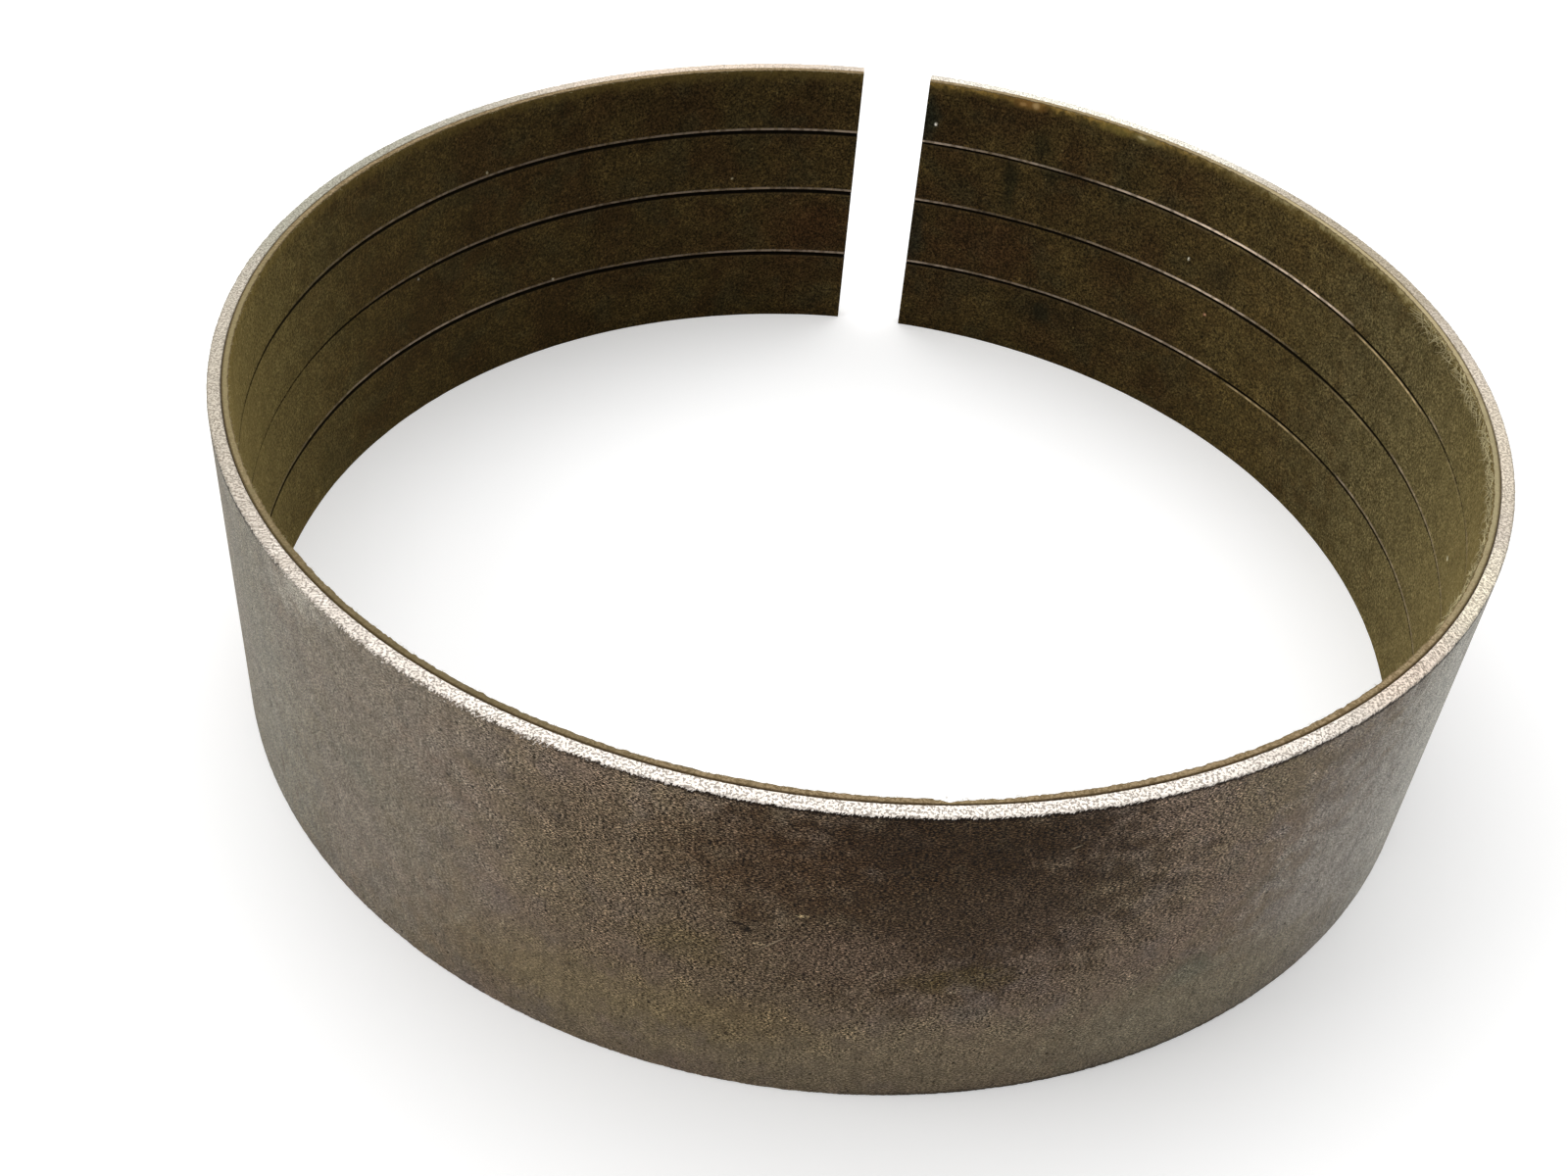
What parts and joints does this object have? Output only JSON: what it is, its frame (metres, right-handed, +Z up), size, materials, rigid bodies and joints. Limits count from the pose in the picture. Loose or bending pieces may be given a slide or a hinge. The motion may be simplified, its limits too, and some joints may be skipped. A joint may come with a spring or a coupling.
{
  "type": "transmission brake band",
  "caption": "Open ring of steel strap with a grooved friction lining inside and a pin lug outside each end, made to grip a transmission drum.",
  "frame": {"origin": "on the ring's axis, in the plane of the lower edge that the band stands on", "axes": "+Z up along the ring's axis; +Y from the axis to the middle of the gap between the open ends; +X towards the end with the apply lug"},
  "size_m": [0.16, 0.1716, 0.045],
  "materials": {
    "strap_steel": "matte",
    "cured_adhesive": "matte",
    "friction_paper": "matte",
    "lug_steel": "matte"
  },
  "bodies": {
    "root": {"steel_strap": "strap_steel", "bond_film": "cured_adhesive", "friction_lining": "friction_paper", "apply_lug": "lug_steel", "anchor_lug": "lug_steel"}
  },
  "joints": []
}
